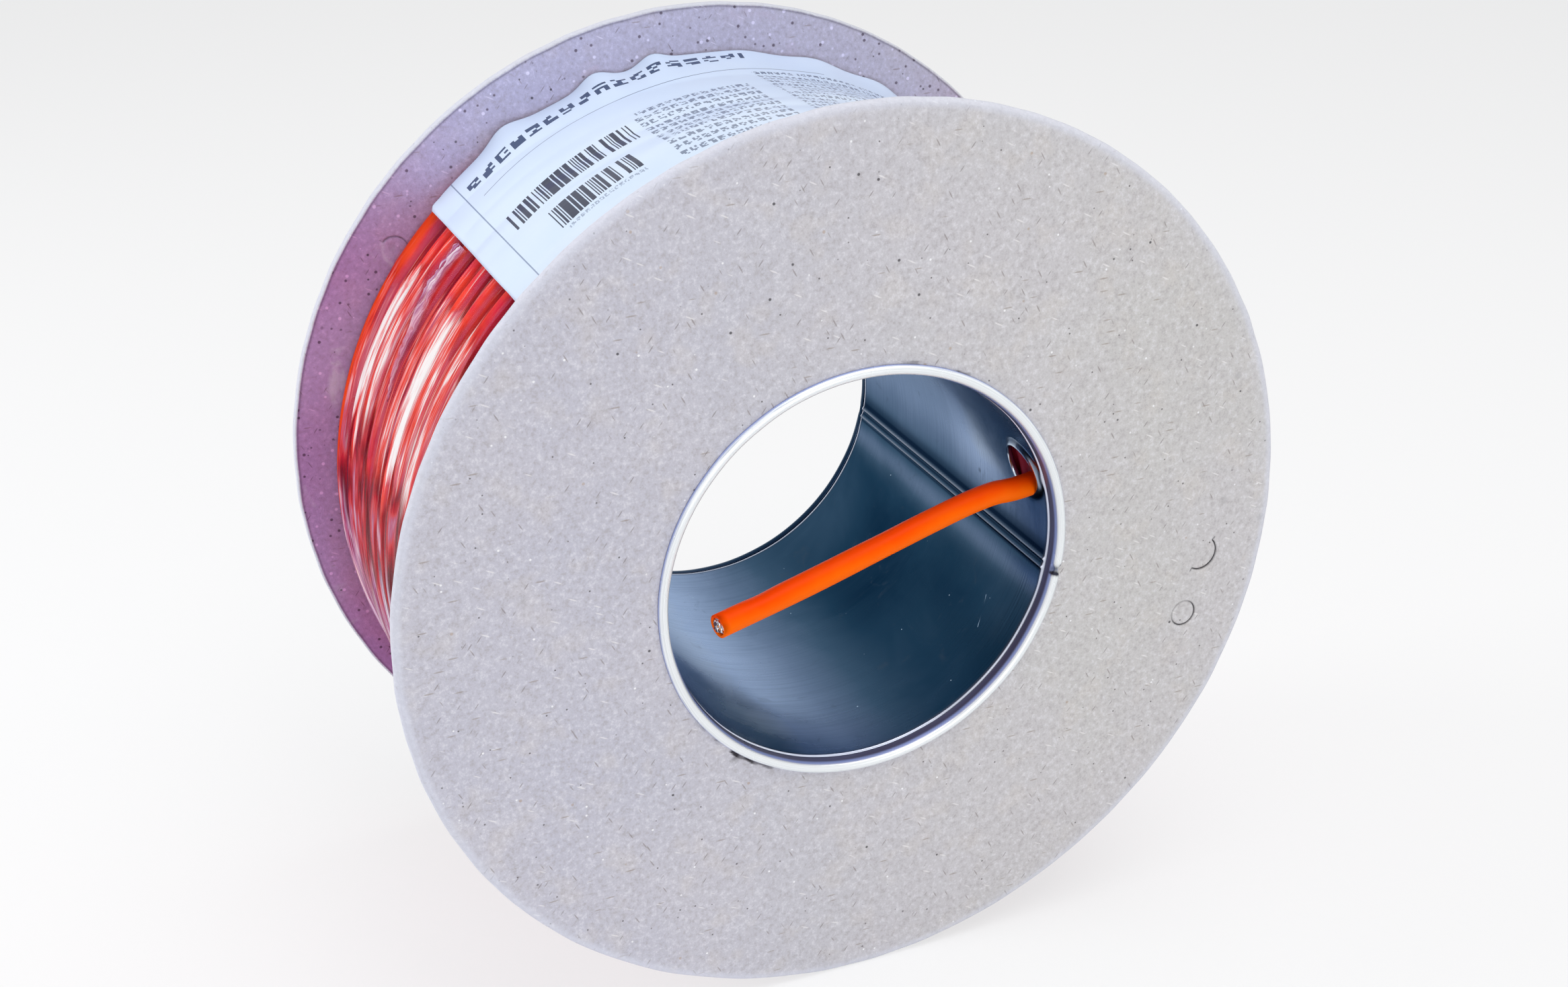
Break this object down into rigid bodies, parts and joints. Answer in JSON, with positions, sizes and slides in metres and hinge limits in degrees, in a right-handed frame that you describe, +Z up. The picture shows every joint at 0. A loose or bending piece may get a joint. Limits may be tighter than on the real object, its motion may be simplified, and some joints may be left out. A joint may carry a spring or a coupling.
{
  "type": "cable drum",
  "caption": "Cable drum with round pressed-board flanges on a rolled tinplate core, wound full of orange data cable under clear film with a paper label; pays cable out on a spindle.",
  "frame": {"origin": "on the floor under the middle of the drum, midway between the flanges", "axes": "+Z up, the drum's axis along Y, the front flange with the cable's inner end towards -Y, +X to the right seen from the front"},
  "size_m": [0.3, 0.1639, 0.3],
  "materials": {
    "flange_board": "pressed grey fibreboard, matt, flecked",
    "core_tinplate": "rolled tinplate, satin with bright rims",
    "cable_jacket": "extruded orange jacket, satin",
    "stretch_film": "clear stretch film, glossy and creased",
    "label_paper": "white coated paper, glossy"
  },
  "bodies": {
    "root": {"front_flange": "flange_board", "back_flange": "flange_board", "core_tube": "core_tinplate", "cable_winding": "cable_jacket", "cable_tail": "cable_jacket", "film_wrap": "stretch_film", "label_sheet": "label_paper"}
  },
  "joints": []
}
